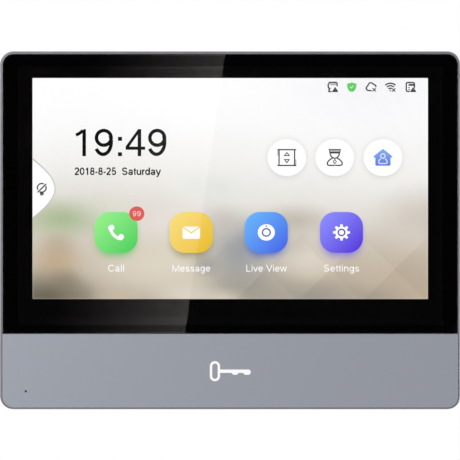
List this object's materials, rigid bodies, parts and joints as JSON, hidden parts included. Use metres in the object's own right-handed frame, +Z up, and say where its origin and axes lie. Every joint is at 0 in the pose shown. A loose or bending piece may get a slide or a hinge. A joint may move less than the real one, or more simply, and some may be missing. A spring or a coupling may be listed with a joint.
{
  "type": "video intercom monitor",
  "caption": "Flat wall-hung touch screen monitor: glass face above a satin metal panel with a lit key mark, thin rear housing, hooked on a steel wall plate.",
  "frame": {"origin": "centre of the wall plate's back face, on the wall plane", "axes": "+Z up, +Y into the wall, -Y out of the screen towards the user, +X right as the user sees it"},
  "size_m": [0.26, 0.025, 0.202],
  "materials": {
    "galvanised_steel": "zinc-plated, lightly spangled",
    "housing_plastic": "fine moulded texture",
    "frame_alloy": "satin metallic grey coat",
    "insert_plastic": "matte grey moulding",
    "cover_glass": "polished, black printed border behind",
    "black_foam_tape": "black adhesive foam",
    "touch_film": "clear sensor film",
    "flex_film": "amber polyimide film",
    "panel_alloy": "fine satin anodised, blue-grey",
    "light_white": "milky light guide, lit white",
    "circuit_board": "green solder mask with traces",
    "led_body": "white package with yellow lens",
    "screw_steel": "nickel-plated",
    "black_rubber": "soft black rubber",
    "can_steel": "tinned sheet",
    "lead_black": "black cable jacket",
    "tray_steel": "stamped sheet",
    "black_plastic": "black moulded plastic",
    "reflector_white": "white reflector foil",
    "clear_acrylic": "clear acrylic with dot pattern",
    "film_white": "translucent diffuser",
    "display_cell": "lit picture behind polariser",
    "gold_contact": "gold-plated",
    "terminal_green": "green moulded plastic",
    "card_black": "smooth black card",
    "button_plastic": "light grey plunger",
    "chip_epoxy": "black epoxy",
    "pad_silicone": "soft blue heat pad",
    "can_aluminium": "drawn can",
    "connector_white": "off-white nylon",
    "magnet_steel": "zinc-plated pot",
    "cone_paper": "pressed black paper pulp",
    "coil_copper": "enamelled copper wire"
  },
  "bodies": {
    "wall_bracket": {"wall_plate": "galvanised_steel"},
    "monitor": {"antenna_lead": "lead_black", "backlight_leds": "led_body", "backlight_strip": "circuit_board", "battery_holder": "black_plastic", "board_connectors": "connector_white", "board_screws": "screw_steel", "capacitors": "can_aluminium", "clock_battery": "can_steel", "cover_glass": "cover_glass", "ethernet_jack": "can_steel", "front_frame": "frame_alloy", "front_panel": "panel_alloy", "glass_adhesive": "black_foam_tape", "heat_pad": "pad_silicone", "housing_screws": "screw_steel", "jack_contacts": "gold_contact", "key_board": "circuit_board", "key_board_screws": "screw_steel", "key_bow_inlay": "panel_alloy", "key_flex": "flex_film", "key_leds": "led_body", "key_light_guide": "light_white", "lcd_cell": "display_cell", "lcd_clip_screws": "screw_steel", "lcd_clips": "tray_steel", "lcd_flex": "flex_film", "lcd_mould_frame": "black_plastic", "lcd_tray": "tray_steel", "light_guide": "clear_acrylic", "main_board": "circuit_board", "memory_slot": "can_steel", "mic_boot": "black_rubber", "mic_lead": "lead_black", "microphone": "can_steel", "optical_films": "film_white", "panel_adhesive": "black_foam_tape", "processor": "chip_epoxy", "rear_housing": "housing_plastic", "reflector_sheet": "reflector_white", "reset_switch": "black_plastic", "shield_can": "can_steel", "side_insert_left": "insert_plastic", "side_insert_right": "insert_plastic", "speaker_basket": "black_plastic", "speaker_gasket": "black_foam_tape", "speaker_lead": "lead_black", "speaker_magnet": "magnet_steel", "speaker_screws": "screw_steel", "speaker_surround": "black_rubber", "terminal_block": "terminal_green", "terminal_screws": "screw_steel", "touch_flex": "flex_film", "touch_sensor": "touch_film", "wifi_antenna": "flex_film", "wifi_module": "can_steel"},
    "memory_card": {"memory_card": "card_black"},
    "reset_button": {"reset_button": "button_plastic"},
    "speaker_diaphragm": {"speaker_cone": "cone_paper", "voice_coil": "coil_copper"}
  },
  "joints": [
    {"name": "monitor_lift", "type": "slide", "parent": "wall_bracket", "child": "monitor", "axis": [0, 0, 1], "range_m": [0, 0.008]},
    {"name": "memory_card_slide", "type": "slide", "parent": "monitor", "child": "memory_card", "axis": [0, 0, -1], "range_m": [-0.0005, 0.012]},
    {"name": "reset_button_press", "type": "slide", "parent": "monitor", "child": "reset_button", "axis": [0, -1, 0], "range_m": [0, 0.00025], "stiffness_N_per_m": 4000},
    {"name": "speaker_cone_travel", "type": "slide", "parent": "monitor", "child": "speaker_diaphragm", "axis": [0, 1, 0], "range_m": [-0.0004, 0.0004], "stiffness_N_per_m": 1500, "deforming": ["speaker_surround"]}
  ]
}
